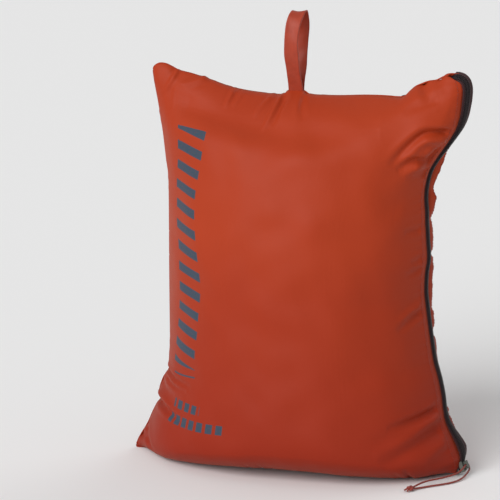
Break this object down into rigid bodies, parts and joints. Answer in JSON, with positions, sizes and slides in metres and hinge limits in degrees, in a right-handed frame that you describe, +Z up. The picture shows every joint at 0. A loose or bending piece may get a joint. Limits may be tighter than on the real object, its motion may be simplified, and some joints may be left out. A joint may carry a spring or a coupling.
{
  "type": "packed camp blanket",
  "caption": "Insulated camp blanket packed in its own zipped pillow pocket, with a hang loop on the top seam and a cord pull on the zipper slider",
  "frame": {"origin": "middle of the packed blanket on the floor, without the free cord", "axes": "X to the zipper side, Y to the back, Z up; the front panel faces -Y"},
  "size_m": [0.2935, 0.1504, 0.3791],
  "materials": {
    "shell_fabric": "satin woven nylon",
    "loop_fabric": "folded woven nylon",
    "thread": "sewing thread",
    "zipper_tape": "woven tape",
    "zipper_coil": "nylon coil",
    "thread_dark": "stitched thread",
    "slider_metal": "dark enamel with a metallic gleam",
    "cord": "braided cord",
    "insulation": "loose synthetic fill",
    "lining_fabric": "woven nylon"
  },
  "bodies": {
    "pocket": {"pocket_front_panel": "shell_fabric", "pocket_back_panel": "shell_fabric", "seam_allowance": "shell_fabric", "hang_loop_tail": "loop_fabric", "hang_loop_bartack": "thread", "zipper_tape_front": "zipper_tape", "zipper_tape_back": "zipper_tape", "zipper_coil_front": "zipper_coil", "zipper_coil_back": "zipper_coil", "zipper_bottom_stop": "thread_dark", "zipper_top_stop": "thread_dark", "blanket_insulation": "insulation", "blanket_lining_fabric": "lining_fabric", "blanket_face_fabric": "shell_fabric", "blanket_hem": "lining_fabric"},
    "slider": {"slider_body": "slider_metal"},
    "pull_cord": {"pull_cord": "cord", "pull_cord_knot": "cord"},
    "hang_loop": {"hang_loop": "loop_fabric"}
  },
  "joints": [
    {"name": "slider_travel", "type": "hinge", "parent": "pocket", "child": "slider", "pos_m": [0.5038, 0, 0.161], "axis": [0, 1, 0], "range_deg": [0, 45], "deforming": ["zipper_coil_front", "zipper_coil_back", "pull_cord"]},
    {"name": "pull_cord_swing", "type": "hinge", "parent": "slider", "child": "pull_cord", "pos_m": [0.14184, 0, 0.00922], "axis": [0, 1, 0], "range_deg": [0, 150]},
    {"name": "hang_loop_fold", "type": "hinge", "parent": "pocket", "child": "hang_loop", "pos_m": [-0.005, 0, 0.3135], "axis": [1, 0, 0], "range_deg": [-60, 60], "stiffness_Nm_per_rad": 0.003}
  ]
}
